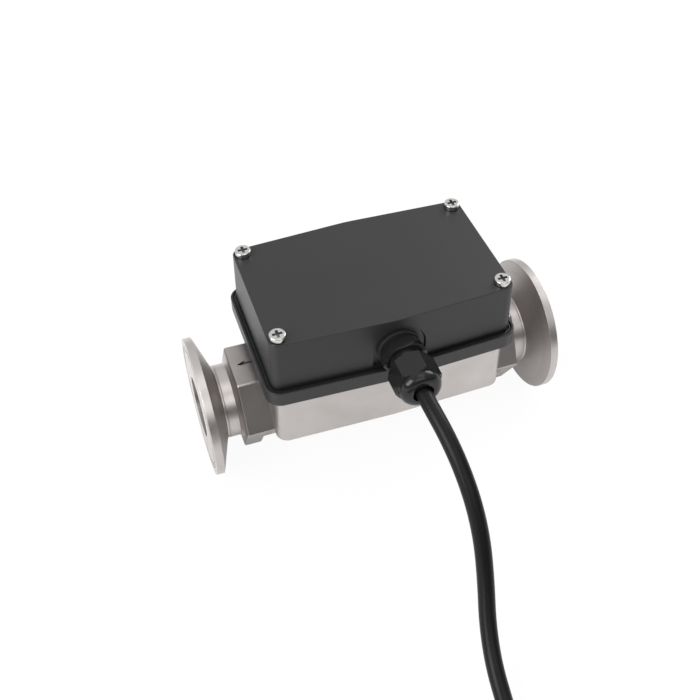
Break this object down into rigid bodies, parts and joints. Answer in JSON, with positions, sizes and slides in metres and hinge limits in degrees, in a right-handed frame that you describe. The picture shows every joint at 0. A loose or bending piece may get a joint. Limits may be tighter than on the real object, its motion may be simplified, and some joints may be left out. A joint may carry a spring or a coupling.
{
  "type": "turbine flow meter",
  "caption": "Inline turbine flow meter with sanitary clamp ferrules, a steel body with a spinning rotor inside, a black electronics box and a cable.",
  "frame": {"origin": "centre of the outlet ferrule's face, on the flow axis", "axes": "+X from the outlet to the inlet, against the flow, +Z towards the electronics box, the cable leaves towards -Y"},
  "size_m": [0.1542, 0.2492, 0.0748],
  "materials": {
    "turned_steel": "fine turned",
    "body_steel": "fine bead-blasted satin",
    "enclosure_plastic": "fine satin texture",
    "gasket_rubber": "matt",
    "gland_plastic": "semi-gloss moulded nylon",
    "screw_steel": "bright zinc plated",
    "cable_sheath": "soft satin",
    "tie_plastic": "satin nylon",
    "wire_red": "satin",
    "wire_black": "satin",
    "wire_white": "satin",
    "rotor_steel": "machined",
    "spring_steel": "satin",
    "shaft_steel": "polished",
    "bearing_plastic": "smooth",
    "bobbin_plastic": "satin",
    "winding_copper": "enamelled copper",
    "pole_iron": "machined",
    "board_laminate": "solder mask",
    "terminal_plastic": "satin",
    "chip_plastic": "matt",
    "capacitor_can": "sleeved can"
  },
  "bodies": {
    "housing": {"outlet_ferrule": "turned_steel", "inlet_ferrule": "turned_steel", "flow_body": "body_steel", "cover": "enclosure_plastic", "enclosure_base": "enclosure_plastic", "cover_gasket": "gasket_rubber", "base_gasket": "gasket_rubber", "gland_washer": "gasket_rubber", "gland_seal": "gasket_rubber", "gland_body": "gland_plastic", "gland_dome_nut": "gland_plastic", "gland_lock_nut": "gland_plastic", "cover_screw_1": "screw_steel", "cover_screw_2": "screw_steel", "cover_screw_3": "screw_steel", "cover_screw_4": "screw_steel", "base_screw_1": "screw_steel", "base_screw_2": "screw_steel", "base_screw_3": "screw_steel", "base_screw_4": "screw_steel", "board_screw_1": "screw_steel", "board_screw_2": "screw_steel", "board_screw_3": "screw_steel", "board_screw_4": "screw_steel", "terminal_screw_1": "screw_steel", "terminal_screw_2": "screw_steel", "terminal_screw_3": "screw_steel", "cable_entry": "cable_sheath", "cable_tube": "cable_sheath", "cable_coil": "cable_sheath", "coil_tie": "tie_plastic", "conductor_1": "wire_red", "lead_wire_1": "wire_red", "conductor_2": "wire_black", "lead_wire_2": "wire_black", "conductor_3": "wire_white", "lead_wire_3": "wire_white", "outlet_support": "rotor_steel", "inlet_support": "rotor_steel", "outlet_retaining_ring": "spring_steel", "inlet_retaining_ring": "spring_steel", "rotor_shaft": "shaft_steel", "coil_bobbin": "bobbin_plastic", "coil_winding": "winding_copper", "coil_lead_1": "winding_copper", "coil_lead_2": "winding_copper", "pickup_pole": "pole_iron", "circuit_board": "board_laminate", "terminal_block": "terminal_plastic", "measuring_chip": "chip_plastic", "smoothing_capacitor": "capacitor_can"},
    "rotor": {"rotor": "rotor_steel", "outlet_bearing": "bearing_plastic", "inlet_bearing": "bearing_plastic"}
  },
  "joints": [
    {"name": "rotor_spin", "type": "hinge", "parent": "housing", "child": "rotor", "pos_m": [0.06525, 0, 0], "axis": [1, 0, 0], "continuous": true}
  ]
}
